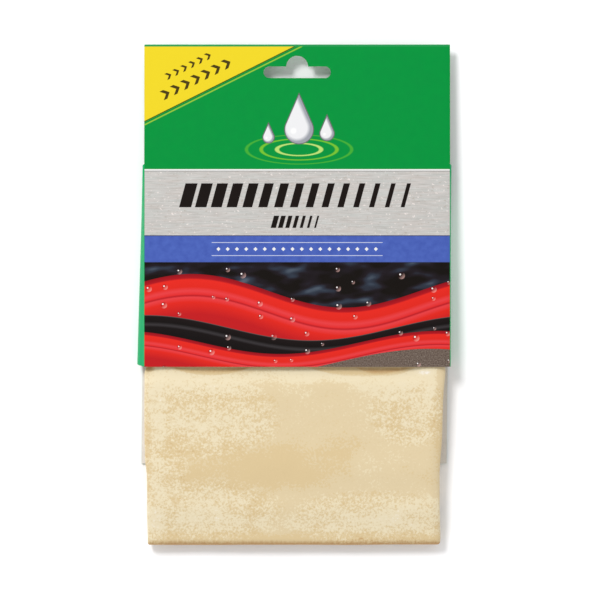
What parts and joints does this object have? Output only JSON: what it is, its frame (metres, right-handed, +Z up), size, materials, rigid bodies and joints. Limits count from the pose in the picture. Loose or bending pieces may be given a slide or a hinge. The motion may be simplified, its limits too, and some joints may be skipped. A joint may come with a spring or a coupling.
{
  "type": "chamois leather in card sleeve",
  "caption": "Chamois leather folded into a flat pad, held in a printed card sleeve with a hanging header; the leather pulls out of the sleeve's open lower end.",
  "frame": {"origin": "middle of the pack's outline, on the surface that the pack lies on", "axes": "+Z up through the pack's thickness, out of the printed front; +Y towards the hanging header; +X to the right of the printed front"},
  "size_m": [0.1494, 0.238, 0.0121],
  "materials": {
    "printed_board": "satin printed board, green and silver outside, plain off-white inside",
    "chamois": "soft napped suede, undyed",
    "glue": "hot-melt adhesive, satin"
  },
  "bodies": {
    "sleeve": {"card_sleeve": "printed_board", "header_glue_left": "glue", "header_glue_right": "glue", "header_glue_lower": "glue", "left_tab_glue": "glue", "right_tab_glue": "glue"},
    "leather": {"chamois_leather": "chamois"}
  },
  "joints": [
    {"name": "leather_pull_out", "type": "slide", "parent": "sleeve", "child": "leather", "axis": [0, -1, 0], "range_m": [0, 0.12]}
  ]
}
